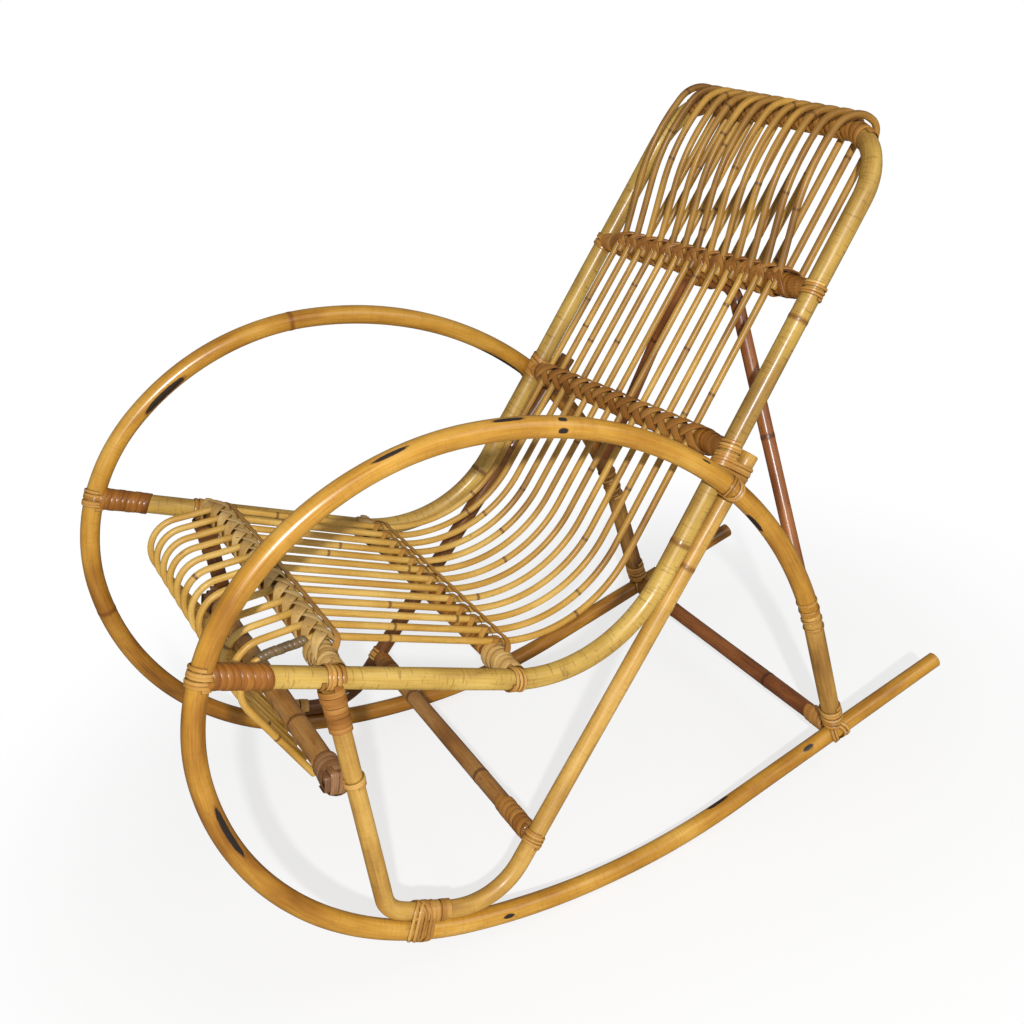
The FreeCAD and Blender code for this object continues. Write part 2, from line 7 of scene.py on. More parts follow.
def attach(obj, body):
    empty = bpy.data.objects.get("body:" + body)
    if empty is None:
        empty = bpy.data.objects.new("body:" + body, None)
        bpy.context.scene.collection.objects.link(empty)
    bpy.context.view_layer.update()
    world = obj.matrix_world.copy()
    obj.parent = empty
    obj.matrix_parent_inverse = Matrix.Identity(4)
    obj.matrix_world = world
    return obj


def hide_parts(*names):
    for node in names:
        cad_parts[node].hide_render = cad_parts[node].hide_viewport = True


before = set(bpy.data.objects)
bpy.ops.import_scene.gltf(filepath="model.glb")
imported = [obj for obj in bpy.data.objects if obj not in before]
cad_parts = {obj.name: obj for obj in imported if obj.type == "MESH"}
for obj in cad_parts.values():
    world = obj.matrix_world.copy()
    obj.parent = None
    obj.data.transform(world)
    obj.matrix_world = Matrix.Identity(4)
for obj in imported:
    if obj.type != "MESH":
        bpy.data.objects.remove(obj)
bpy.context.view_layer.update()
mm = 0.001
chance = random.Random(7)

# Sizes of the bent work in millimetres and degrees, as in the CAD, but the head reeds bulge more and end sooner
chair = {
    "hoop": 26, "frame": 26, "brace": 23, "bar": 22, "frontBar": 28, "stretcher": 23, "prop": 19,
    "seatReed": 9, "headReed": 7, "gap": 0.3, "halfWidth": 271, "lean": 10.05, "hoopToeIn": 0.8,
    "rockerRadius": 846, "rockerFront": 6.7, "rockerRear": 21.1, "tail": 364,
    "bows": ((360, 73.9), (275, 53.1), (361, 44.9), (515, 74)), "splice": 58,
    "railJoint": 28, "railSlope": 16.4, "rail": 530, "seatBend": 189, "stileSlope": 58.5, "stile": 744,
    "topCorner": 84, "frameToeIn": 2.7, "frontBarAt": 156, "midBarAt": 392, "seatBarRise": 4,
    "lowBarAt": 306, "highBarAt": 523, "barSkew": 16, "legAt": 146, "legLean": 9.6, "legBend": 34,
    "braceSlope": 55, "braceBend": 92, "braceTop": 190, "lowerBarHeight": 268, "lowerBarAhead": 18, "lowerBarInset": 4,
    "stretcherHeight": 112, "reeds": 13, "reedFront": 208, "reedShift": -10, "reedBack": 174, "roll": 42,
    "rollStart": 7, "rollEnd": 56, "reedBend": 172, "headBulge": 56, "headBulgeAt": 0.62, "headBulgeRadius": 260,
    "headBrow": 42, "headBrowRadius": 44, "headFoot": 40, "headStub": 2, "headFuller": 1.2, "propWidth": 109,
    "propShift": 18, "propBend": 30, "propFoot": 84, "propTurn": 37, "propUnder": 135,
}
gap = chair["gap"]
sides = (("left", 1), ("right", -1))


# Points of the side view are (y, z) pairs in millimetres
def heading(angle):
    return Vector((math.cos(math.radians(angle)), math.sin(math.radians(angle))))


def turned(flat, angle):
    c, s = math.cos(math.radians(angle)), math.sin(math.radians(angle))
    return Vector((flat.x * c - flat.y * s, flat.x * s + flat.y * c))


def bendFrom(start, angle, radius, turn):
    side = 1 if turn > 0 else -1
    centre = start + heading(angle + 90 * side) * radius
    arc = (start, centre + turned(start - centre, turn / 2), centre + turned(start - centre, turn))
    return arc, centre, angle + turn


def backwards(pieces):
    return [tuple(reversed(piece)) for piece in reversed(pieces)]


def crossing(pointA, angleA, pointB, angleB):
    a, b, apart = heading(angleA), heading(angleB), pointB - pointA
    return pointA + a * ((apart.x * b.y - apart.y * b.x) / (a.x * b.y - a.y * b.x))


def arcBetween(centre, start, end):
    middle = centre + ((start - centre) + (end - centre)).normalized() * (start - centre).length
    return (start, middle, end)


def tangentArc(before, corner, after, reach):
    back, ahead = (before - corner).normalized(), (after - corner).normalized()
    opening = back.angle(ahead)
    radius = reach * math.tan(opening / 2)
    bisector = (back + ahead).normalized()
    return (corner + back * reach, corner + bisector * (radius / math.sin(opening / 2) - radius),
            corner + ahead * reach)


def rounded(points, radii):
    pieces, start = [], points[0]
    for before, corner, after, radius in zip(points, points[1:], points[2:], radii):
        opening = (before - corner).angle(after - corner)
        arc = tangentArc(before, corner, after, radius / math.tan(opening / 2))
        if (arc[0] - start).length > 0.001 * mm:
            pieces.append((start, arc[0]))
        pieces.append(arc)
        start = arc[2]
    return pieces + [(start, points[-1])]


# Side hoop, traced from the floor contact both ways
hoopR, frameR, braceR = chair["hoop"] / 2, chair["frame"] / 2, chair["brace"] / 2
contact = Vector((0, hoopR))
rearArc, rockerCentre, tailAngle = bendFrom(contact, 0, chair["rockerRadius"], chair["rockerRear"])
tailFoot = rearArc[2]
tailTip = tailFoot + heading(tailAngle) * chair["tail"]
bowArcs, bowAngles, bowCentres = [], [180], []
for radius, turn in ((chair["rockerRadius"], chair["rockerFront"]), *chair["bows"]):
    start = bowArcs[-1][2] if bowArcs else contact
    arc, centre, angle = bendFrom(start, bowAngles[-1], radius, -turn)
    bowArcs.append(arc)
    bowAngles.append(angle)
    bowCentres.append(centre)
lowCentre, highCentre, armCentre = bowCentres[1], bowCentres[2], bowCentres[4]
jointAngle = bowAngles[2] - chair["railJoint"]
bowEnd, postAngle = bowArcs[-1][2], bowAngles[-1]
armRear = chair["bows"][3][0]
joint = highCentre + heading(jointAngle + 90) * chair["bows"][1][0]
railAngle, stileAngle = -chair["railSlope"], chair["stileSlope"]
bendCorner = joint + heading(railAngle) * chair["rail"]
topCorner = bendCorner + heading(stileAngle) * chair["stile"]


def leaned(flat):
    return rockerCentre + turned(flat - rockerCentre, -chair["lean"])


frontReach = leaned(highCentre).x - chair["bows"][1][0] - hoopR
tailReach = leaned(tailTip).x + hoopR * math.sin(math.radians(tailAngle - chair["lean"]))
rearReach = max(tailReach, leaned(topCorner).x + frameR + chair["headReed"] + gap)
middleY = (frontReach + rearReach) / 2


def stood(x, flat):
    rolled = leaned(flat)
    return Vector((x, rolled.x - middleY, rolled.y)) * mm


class SidePlane:  # upright plane of a bent side piece, drawn in towards the back
    def __init__(self, place, x, toeIn):
        self.place, self.x, self.toeIn = place, x, math.radians(toeIn)

    def point(self, flat, side):
        along = flat.x - self.place.x
        x = self.x - along * math.sin(self.toeIn)
        return stood(side * x, Vector((self.place.x + along * math.cos(self.toeIn), flat.y)))

    def vector(self, flat, side):
        rolled = turned(Vector((flat.x * math.cos(self.toeIn), flat.y)), -chair["lean"])
        return Vector((-side * flat.x * math.sin(self.toeIn), rolled.x, rolled.y))

    def pieces(self, flats, side):
        return [tuple(self.point(flat, side) for flat in piece) for piece in flats]


hoopPlane = SidePlane(joint, chair["halfWidth"], chair["hoopToeIn"])
framePlane = SidePlane(joint, chair["halfWidth"], chair["frameToeIn"])


class Route:  # straight runs and arcs, walked by length in metres
    def __init__(self, pieces):
        self.spans, self.length = [], 0
        for piece in pieces:
            start, end = piece[0], piece[-1]
            if len(piece) == 2:
                span = (end - start).length
                self.spans.append((self.length, span, start, (end - start) / span, None))
            else:
                a, b = piece[1] - start, end - start
                n = a.cross(b)
                centre = start + (n.cross(a) * b.length_squared + b.cross(n) * a.length_squared) / (
                    2 * n.length_squared)
                u, m = start - centre, piece[1] - centre
                v = (m - u * (m.dot(u) / u.length_squared)).normalized() * u.length
                span = 2 * u.angle(m) * u.length
                self.spans.append((self.length, span, centre, u, v))
            self.length += span

    def at(self, s):
        inside = min(max(s, 0), self.length)
        begin, span, origin, u, v = [row for row in self.spans if row[0] <= inside + 1e-9][-1]
        if v is None:
            return origin + u * (s - begin), u.copy()
        turn = (inside - begin) / u.length
        c, k = math.cos(turn), math.sin(turn)
        along = (v * c - u * k).normalized()
        return origin + u * c + v * k + along * (s - inside), along

    def nearest(self, place):
        steps = [self.length * i / 600 for i in range(601)]
        return min(steps, key=lambda s: (self.at(s)[0] - place).length)


# Scarfed hoop and post
spliceTurn = math.degrees(chair["splice"] / armRear)
spliceMiddle = armCentre + turned(bowEnd - armCentre, spliceTurn / 2)
postFoot = crossing(bowEnd, postAngle, tailFoot, tailAngle)
hoopFlats = backwards([rearArc, (tailFoot, tailTip)]) + bowArcs
hoopFlats[-1] = arcBetween(armCentre, bowArcs[-1][0], spliceMiddle)
postTop = postFoot + heading(postAngle + 180) * (hoopR + gap)
postFlats = [arcBetween(armCentre, spliceMiddle, bowEnd), (bowEnd, postTop)]

# Brace pole
seatNormal, backNormal = heading(railAngle + 90), heading(stileAngle + 90)
restRadius = chair["bows"][0][0] - hoopR - braceR - gap
stileClear = frameR + braceR + gap
halfOpening = math.radians(180 - (stileAngle - railAngle)) / 2
bendCentre = bendCorner + heading((stileAngle + railAngle) / 2 + 90) * (chair["seatBend"] / math.sin(halfOpening))
braceAngle, legAngle = chair["braceSlope"], 90 + chair["legLean"]
braceTouch = bendCentre + heading(braceAngle - 90) * (chair["seatBend"] + stileClear)
braceTop = braceTouch + heading(braceAngle) * chair["braceTop"]
legTop = joint + heading(railAngle) * chair["legAt"]


def restFillet(through, angle, radius, side):
    offset = through + heading(angle + 90 * side) * radius
    run, apart = heading(angle), offset - lowCentre
    b = apart.dot(run)
    c = apart.dot(apart) - (restRadius - radius) ** 2
    centre = offset - run * (b + math.sqrt(b * b - c))
    return (centre, centre - heading(angle + 90 * side) * radius,
            lowCentre + (centre - lowCentre).normalized() * restRadius)


def meetsArm(through, angle):
    run, apart = heading(angle), through - armCentre
    b = apart.dot(run)
    c = apart.dot(apart) - armRear ** 2
    return through + run * (math.sqrt(b * b - c) - b)


rearCentre, rearRun, rearRest = restFillet(braceTouch, braceAngle, chair["braceBend"], 1)
legCentre, legRun, legRest = restFillet(legTop, legAngle, chair["legBend"], -1)
legEnd = legTop - heading(legAngle) * (frameR + gap)
footFlats = [arcBetween(lowCentre, rearRest, legRest), arcBetween(legCentre, legRest, legRun), (legRun, legEnd)]


def planeX(plane, flat):
    return plane.point(flat, 1).x / mm


footDrop = planeX(hoopPlane, rearRest) - planeX(framePlane, legTop)
footToeIn = math.degrees(math.asin(footDrop / (legTop.x - rearRest.x)))
footPlane = SidePlane(rearRest, planeX(hoopPlane, rearRest), footToeIn)
toRun, toRest = rearRun - rearCentre, rearRest - rearCentre
rearCorner = rearCentre + (toRun + toRest) / (1 + math.cos(toRun.angle(toRest)))
bracePass = meetsArm(braceTouch, braceAngle)
passX = planeX(hoopPlane, bracePass) - hoopR - braceR - gap


def onBrace(flat, side):
    low, high = footPlane.point(rearCorner, side), stood(side * passX, bracePass)
    return low + (high - low) * ((flat - rearCorner).length / (bracePass - rearCorner).length)


def bracePieces(side):
    top, corner, rest = onBrace(braceTop, side), footPlane.point(rearCorner, side), footPlane.point(rearRest, side)
    bend = tangentArc(top, corner, rest, (corner - rest).length)
    return [(top, bend[0]), bend] + footPlane.pieces(footFlats, side)


# Bars
def alongStile(alias, shift=0):
    return bendCorner + heading(stileAngle) * (chair[alias] + shift)


def atHeight(through, angle, height):
    return through + heading(angle) * ((height - through.y) / math.sin(math.radians(angle)))


frontBar, midBar = (joint + heading(railAngle) * chair[alias] + seatNormal * chair["seatBarRise"]
                    for alias in ("frontBarAt", "midBarAt"))
legThere = atHeight(legTop, legAngle, chair["lowerBarHeight"])
lowerBar = legThere - heading(0) * chair["lowerBarAhead"]
lowerReach = planeX(footPlane, legThere)
stretcherAt = atHeight(braceTouch, braceAngle, chair["stretcherHeight"])
lowBackBar, highBackBar = alongStile("lowBarAt"), alongStile("highBarAt")
barEnds = {
    "front_crossbar": [framePlane.point(frontBar, s) for s in (1, -1)],
    "mid_seat_crossbar": [framePlane.point(midBar, s) for s in (1, -1)],
    "lower_back_crossbar": [framePlane.point(alongStile("lowBarAt", s * chair["barSkew"]), s) for s in (1, -1)],
    "upper_back_crossbar": [framePlane.point(alongStile("highBarAt", s * chair["barSkew"]), s) for s in (1, -1)],
    "front_lower_bar": [stood(s * lowerReach, lowerBar) for s in (1, -1)],
    "middle_stretcher": [onBrace(stretcherAt, s) for s in (1, -1)],
    "rear_stretcher": [hoopPlane.point(postFoot, s) for s in (1, -1)],
}
barCarrier = {"front_lower_bar": chair["lowerBarInset"], "middle_stretcher": braceR + gap}


def barPieces(node):
    left, right = barEnds[node]
    way = (right - left).normalized() * barCarrier.get(node, frameR + gap) * mm
    return [(left + way, right - way)]


# Reeds
reedR, headR = chair["seatReed"] / 2, chair["headReed"] / 2
overBar = chair["bar"] / 2 + reedR + gap
rollAngle, endAngle = 180 + chair["rollStart"], 360 - chair["rollEnd"]
reedLow = lowerBar + heading(endAngle - 90) * (chair["frontBar"] / 2 + reedR + gap)
reedEnd = reedLow + heading(endAngle) * (chair["frontBar"] / 2)
liftTurn = math.radians(chair["rollStart"] - railAngle)
rollTop = frontBar + heading((railAngle + rollAngle) / 2) * (overBar / math.cos(liftTurn / 2))
rollCorner = crossing(rollTop, rollAngle, reedLow, endAngle)
reedBend = crossing(rollTop, railAngle, lowBackBar + backNormal * overBar, stileAngle)
shares = [2 * i / (chair["reeds"] - 1) - 1 for i in range(chair["reeds"])]


def fanned(share, flat, sideways=0):
    front, back = share * chair["reedFront"] + chair["reedShift"], share * chair["reedBack"]
    x = front + (back - front) * (flat.x - frontBar.x) / (highBackBar.x - frontBar.x) + sideways
    level = framePlane.point(flat, 1)
    return Vector((x * mm, level.y, level.z))


def highBarShift(x):
    return chair["barSkew"] * x / planeX(framePlane, highBackBar)


def seatReedPieces(share):
    shift = highBarShift(share * chair["reedBack"]) + reedR
    top = alongStile("highBarAt", shift) + backNormal * overBar
    points = [fanned(share, flat) for flat in (reedEnd, rollCorner, rollTop, reedBend, top)]
    return rounded(points, [r * mm for r in (chair["roll"], overBar, chair["reedBend"])])


def headReedPieces(share):
    step = reedR + headR + gap
    low = alongStile("highBarAt", highBarShift(share * chair["reedBack"] + step))
    rise, up = topCorner - low, heading(stileAngle)
    beside, over = chair["bar"] / 2 + headR + gap, frameR + headR + gap
    flats = [low - up * (chair["bar"] / 2 + chair["headStub"]) + backNormal * beside, low + backNormal * beside,
             low + rise * chair["headBulgeAt"] + backNormal * chair["headBulge"],
             topCorner + up * over + backNormal * chair["headBrow"],
             topCorner + (up - backNormal) * over, low - backNormal * over]
    points = [fanned(share, flat, step) for flat in flats]
    radii = (chair["headFoot"], chair["headBulgeRadius"], chair["headBrowRadius"], over)
    return rounded(points, [r * mm for r in radii])


def propPieces():
    drop = chair["bar"] / 2 + chair["prop"] / 2 + gap
    turn = math.radians(chair["propTurn"])
    rise = math.degrees(chair["propFoot"] / armRear)
    place = armCentre + turned(bowEnd - armCentre, rise)
    points = []
    for name, side in sides:
        foot = hoopPlane.point(place, side)
        foot += hoopPlane.vector(heading(postAngle + rise + 90), side) * (hoopR * math.sin(turn) * mm)
        foot.x -= side * hoopR * math.cos(turn) * mm
        x = chair["propShift"] + side * chair["propWidth"] / 2
        flat = alongStile("highBarAt", highBarShift(x)) + heading(stileAngle - chair["propUnder"]) * drop
        level = framePlane.point(flat, 1)
        pair = [foot, Vector((x * mm, level.y, level.z))]
        points += pair if side == 1 else pair[::-1]
    return rounded(points, [chair["propBend"] * mm] * 2)


def framePieces():
    points = [framePlane.point(flat, 1) for flat in (joint, bendCorner, topCorner)]
    points += [framePlane.point(flat, -1) for flat in (topCorner, bendCorner, joint)]
    radii = (chair["seatBend"], chair["topCorner"], chair["topCorner"], chair["seatBend"])
    return rounded(points, [r * mm for r in radii])


routes = {"seat_back_frame": Route(framePieces()), "back_prop": Route(propPieces())}
for name, side in sides:
    routes[f"{name}_hoop_pole"] = Route(hoopPlane.pieces(hoopFlats, side))
    routes[f"{name}_rear_post"] = Route(hoopPlane.pieces(postFlats, side))
    routes[f"{name}_brace_pole"] = Route(bracePieces(side))
for node in barEnds:
    routes[node] = Route(barPieces(node))
for i, share in enumerate(shares, start=1):
    routes[f"seat_reed_{i:02d}"] = Route(seatReedPieces(share))
    routes[f"head_reed_{i:02d}"] = Route(headReedPieces(share))
print("routes", len(routes))


# Materials
def linear(hexColor):
    parts = [int(hexColor[i:i + 2], 16) / 255 for i in (1, 3, 5)]
    return tuple(c / 12.92 if c <= 0.04045 else ((c + 0.055) / 1.055) ** 2.4 for c in parts) + (1,)


def addNode(tree, kind, inputs=None, stops=(), **settings):
    node = tree.nodes.new("ShaderNode" + kind)
    for key, value in settings.items():
        setattr(node, key, value)
    for socket, value in (inputs or {}).items():
        if isinstance(value, bpy.types.NodeSocket):
            tree.links.new(value, node.inputs[socket])
        else:
            node.inputs[socket].default_value = value
    for i, (place, color) in enumerate(stops):
        element = node.color_ramp.elements[i] if i < 2 else node.color_ramp.elements.new(place)
        element.position, element.color = place, linear(color) if isinstance(color, str) else (color, color, color, 1)
    return next((out for out in node.outputs if out.enabled), None)


def emptyTree(owner):
    owner.use_nodes = True
    owner.node_tree.nodes.clear()
    return owner.node_tree


def rattan(name, dark, mid, light, look):
    # Rattan under clear varnish: long pale fibres, cross creases, reddish joints and black rubbed spots; the tone
    # attribute also paints shade and light, and on peel strips the joint colour paints shade along the edges
    material = bpy.data.materials.new(name)
    tree = emptyTree(material)
    bark = addNode(tree, "Attribute", attribute_name="bark").node.outputs["Vector"]
    marks = addNode(tree, "Attribute", attribute_name="marks").node.outputs["Vector"]
    ring, wear, tone = addNode(tree, "SeparateXYZ", {0: marks}).node.outputs
    grains = {"fibre": (look["fibreWidth"], 70, 4), "cloud": (30, 90, 3), "fleck": (3.5, 13, 2),
              "crease": (look["creaseWidth"], look["creaseSpacing"], 2), "mottle": (6, 6, 4)}
    noises = {}
    for title, (across, along, detail) in grains.items():
        stretch = (1000 / across, 1000 / across, 1000 / along)
        scaled = addNode(tree, "VectorMath", {0: bark, 1: stretch}, operation="MULTIPLY")
        noises[title] = addNode(tree, "TexNoise", {"Vector": scaled, "Scale": 1.0, "Detail": detail})
    depth = tone
    for title in ("fibre", "cloud"):
        depth = addNode(tree, "Math", {0: noises[title], 1: look[title], 2: depth}, operation="MULTIPLY_ADD")
    base = addNode(tree, "ValToRGB", {0: depth}, [(0.3, dark), (0.68, light), (0.5, mid), (0.08, look["deep"])])
    uneven = addNode(tree, "Math", {0: noises["mottle"], 1: 0.7, 2: -0.35}, operation="MULTIPLY_ADD")
    ringEdge = addNode(tree, "Math", {0: ring, 1: uneven}, operation="ADD")
    rub = addNode(tree, "Math", {0: uneven, 1: look["rubEdge"], 2: wear}, operation="MULTIPLY_ADD")
    creaseFrom, ringFull = look["creaseFrom"], look["ring"]
    layers = {
        "crease": (noises["crease"], [(creaseFrom, 0.0), (creaseFrom + 0.07, look["crease"])]),
        "fleck": (noises["fleck"], [(0.66, 0.0), (0.76, look["fleck"])]),
        "ring": (ringEdge, [(0.22, 0.0), (0.95, ringFull), (0.5, 0.35 * ringFull)]),
        "rim": (rub, [(0.3, 0.0), (0.45, 0.6)]),
        "rub": (rub, [(0.45, 0.0), (0.53, 1.0)]),
    }
    masks = {}
    for title, (amount, stops) in layers.items():
        masks[title] = addNode(tree, "ValToRGB", {0: amount}, stops)
        color = linear(look[title + "Color"])
        base = addNode(tree, "Mix", {0: masks[title], 6: base, 7: color}, data_type="RGBA")
    satin = addNode(tree, "MapRange", {
        "Value": noises["fibre"], "To Min": look["rough"] - 0.07, "To Max": look["rough"] + 0.1})
    matt = addNode(tree, "Math", {0: masks["rub"], 1: look["rubMatt"], 2: satin}, operation="MULTIPLY_ADD")
    dents = addNode(tree, "Math", {0: noises["fibre"], 1: look["fibreDent"]}, operation="MULTIPLY")
    for title in ("crease", "rub"):
        dents = addNode(tree, "Math", {0: masks[title], 1: look[title + "Dent"], 2: dents}, operation="MULTIPLY_ADD")
    bump = addNode(tree, "Bump", {"Height": dents, "Strength": 0.5, "Distance": 0.5 * mm})
    skin = addNode(tree, "BsdfPrincipled", {
        "Base Color": base, "Roughness": matt, "Normal": bump, "IOR": 1.5, "Coat Weight": look["coat"],
        "Coat Roughness": 0.2, "Coat IOR": 1.5})
    addNode(tree, "OutputMaterial", {"Surface": skin})
    return material


rattanLook = {
    "deep": "#5a3410", "fibreWidth": 1.6, "fibre": 0.32, "cloud": 0.68, "creaseWidth": 20, "creaseSpacing": 3,
    "creaseFrom": 0.56, "crease": 0.16, "creaseColor": "#8a5d22", "fleck": 0.35, "fleckColor": "#7d4d1c",
    "ring": 0.75, "ringColor": "#74400f", "rimColor": "#7a4a1c", "rubColor": "#2b2119", "rubEdge": 0.35,
    "rubMatt": 0.25, "fibreDent": 0.09, "creaseDent": -0.5, "rubDent": -0.6, "rough": 0.3, "coat": 0.6,
}
# On peel strips the dark joint colour paints shade along the strip edges
peelLook = dict(rattanLook, fibreWidth=0.8, crease=0.1, fleck=0.3, ring=0.9, ringColor="#4a2a12", rough=0.4, coat=0.25)
railLook = dict(rattanLook, crease=0.5, creaseFrom=0.59, creaseWidth=19, creaseSpacing=2.6, creaseColor="#7d5b1e",
                rough=0.42, coat=0.25)
reedLook = dict(rattanLook, fibreWidth=1.2, crease=0.12, fleck=0.5, ring=0.8, ringColor="#5c3614", rough=0.48, coat=0.1)
brownLook = dict(rattanLook, fleck=0.6, fleckColor="#5a3314", ringColor="#4f2a10")
russetLook = dict(rattanLook, fleck=0.55, fleckColor="#55290f", ringColor="#42200c", rough=0.42, coat=0.3)
dullLook, dryLook = dict(rattanLook, rough=0.45, coat=0.15), dict(peelLook, rough=0.46)
goldenPole = rattan("varnishedRattanPole", "#9c661a", "#c08b2f", "#d6a64c", rattanLook)  # honey yellow, glossy
dullPole = rattan("dullRattanPole", "#9c6f2c", "#c49743", "#dab263", dullLook)  # paler yellow with little gloss
yellowPole = rattan("varnishedRattanRail", "#987232", "#c09b46", "#d4b35f", railLook)  # straw, dark ticks across
reedSkin = rattan("varnishedRattanReed", "#946824", "#be9038", "#d4ae5a", reedLook)  # thin yellow-brown rods
brownAndShadePole = rattan("brownAndShadeRattanPole", "#70441a", "#9c6a31", "#ba8e52", brownLook)  # darker brown poles; on the far brace this is painted shade
russetPole = rattan("russetRattanPole", "#743f1c", "#9c5f2c", "#bb8448", russetLook)  # red-brown poles at the back
goldenPeel = rattan("goldenPeel", "#8e5c1e", "#b58036", "#d0a356", peelLook)  # bright glossy strands
brownPeel = rattan("brownPeel", "#74420c", "#9e6624", "#c28c44", peelLook)  # broad varnished strips
russetPeel = rattan("russetPeel", "#6d3b08", "#955b17", "#b67d2c", peelLook)  # redder strips at the rail ends
tanPeel = rattan("tanPeel", "#a2783a", "#d8ae66", "#eccd8e", dryLook)  # dry pale strips
greyPeel = rattan("greyBrownPeel", "#5f3d22", "#875c38", "#ab845c", dryLook)  # dull grey-brown strips
ashPeel = rattan("ashPeel", "#4c3a24", "#75603f", "#a48e66", dict(peelLook, rough=0.5))  # grey frayed strip


# Bent poles and reeds: a round wire walked along its route, then made a mesh with closed ends
poleLook = {  # what a pole has unless its own look says otherwise
    "rings": [], "wear": (), "tone": 0, "toneAt": lambda s: 0, "seed": 0, "step": 5, "round": 6, "before": 0,
    "taper": 0, "taperRun": 0.7, "point": 0, "tip": 0.35, "endInset": 0.0012, "endRound": 0.9,
    "ringReach": 7, "ringSwell": 0.035, "ringSpread": 3, "ringSteps": 8, "uneven": 0.012, "unevenRate": 23,
}
poleRadius = {}  # millimetres by node, filled as the poles are made


def smoothBlob(distance, reach):
    return max(0.0, 1 - (distance / reach) ** 2) ** 2


def poleStations(route, look):
    # Lengths along the route, closer together at the bark's joints and at both ends
    count = max(1, round(route.length / (look["step"] * mm)))
    stations = {round(route.length * i / count, 5) for i in range(count + 1)}
    steps = range(-look["ringSteps"], look["ringSteps"] + 1)
    for place in look["rings"]:
        stations |= {round(place + d * mm, 5) for d in steps}
    first, inset = -look["before"], look["endInset"]
    stations |= {first, first + inset, round(route.length - inset, 5)}
    return sorted(s for s in stations if first <= s <= route.length)


def girth(s, route, look):
    # Share of the radius: swollen joints, uneven growth, a slim tail and a pointed end
    swell = sum(math.exp(-((s - ring) / (look["ringSpread"] * mm)) ** 2) for ring in look["rings"])
    share = 1 + look["ringSwell"] * swell + look["uneven"] * math.sin(s * look["unevenRate"] + look["seed"])
    share *= 1 - look["taper"] * max(0, 1 - s / look["taperRun"])
    return share * min(1, look["tip"] + (route.length - s) / look["point"]) if look["point"] else share


def setMarks(mesh, bark, marks):
    for title, values in (("bark", bark), ("marks", marks)):
        mesh.attributes.new(title, "FLOAT_VECTOR", "POINT").data.foreach_set("vector", values)


def markPole(mesh, stations, spots, radius, look):
    # For the rattan shader: bark coordinates, and the joint, wear and tone at every vertex; the tone also carries
    # painted shade and painted light along the pole
    count = len(mesh.vertices) // len(stations)
    bark, marks = [], []
    for i, vertex in enumerate(mesh.vertices):
        row, turn = divmod(i, count)
        s, (place, along), angle = stations[row], spots[row], 2 * math.pi * turn / count
        bark += [radius * math.cos(angle), radius * math.sin(angle), s + look["seed"]]
        near = max([smoothBlob(s - ring, look["ringReach"] * mm) for ring in look["rings"]], default=0)
        out = (vertex.co - place).normalized()
        worn = 0
        for at, toward, reach, spread in look["wear"]:
            if abs(s - at) < reach:
                square = toward - along * toward.dot(along)
                worn = max(worn, (smoothBlob(s - at, reach) * smoothBlob(out.angle(square), spread)) ** 0.5)
        marks += [near, worn, look["tone"] + look["toneAt"](s)]
    setMarks(mesh, bark, marks)


def faceOutward(crease):
    # The selected mesh is closed, faces outward and is smooth but for edges sharper than the crease
    bpy.ops.object.mode_set(mode="EDIT")
    bpy.ops.mesh.select_all(action="SELECT")
    bpy.ops.mesh.fill_holes(sides=0)
    bpy.ops.mesh.normals_make_consistent(inside=False)
    bpy.ops.object.mode_set(mode="OBJECT")
    bpy.ops.object.shade_smooth_by_angle(angle=math.radians(crease))


def finishPiece(piece, material, node=None):
    piece.data.materials.clear()
    piece.data.materials.append(material)
    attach(piece, "root")
    if node:
        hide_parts(node)


def poleMesh(name, route, radius, look):
    look = {**poleLook, **look}
    stations = poleStations(route, look)
    spots = [route.at(s) for s in stations]
    girths = [girth(s, route, look) for s in stations]
    girths[0] *= look["endRound"]
    girths[-1] *= look["endRound"]
    bpy.ops.object.select_all(action="DESELECT")
    bpy.ops.curve.primitive_nurbs_path_add()
    pole = bpy.context.object
    pole.name = name
    wire = pole.data
    wire.splines.clear()
    spline = wire.splines.new("POLY")
    spline.points.add(len(spots) - 1)
    for knot, (place, along), share in zip(spline.points, spots, girths):
        knot.co = (*place, 1)
        knot.radius = share
    wire.dimensions = "3D"
    wire.bevel_depth = radius
    wire.bevel_resolution = look["round"]
    bpy.ops.object.convert(target="MESH")
    markPole(pole.data, stations, spots, radius, look)
    faceOutward(crease=50)
    return pole


def finishPole(node, radius, material, look):
    poleRadius[node] = radius
    words = node.split("_")
    name = words[0] + "".join(word.title() for word in words[1:])
    finishPiece(poleMesh(name, routes[node], radius * mm, look), material, node)


def spacedRings(length, first, spacing):
    wobble, endMargin = 0.25, 0.01
    places, s = [], first
    while s < length - endMargin:
        places.append(s)
        s += spacing * (1 + wobble * (chance.random() - 0.5))
    return places
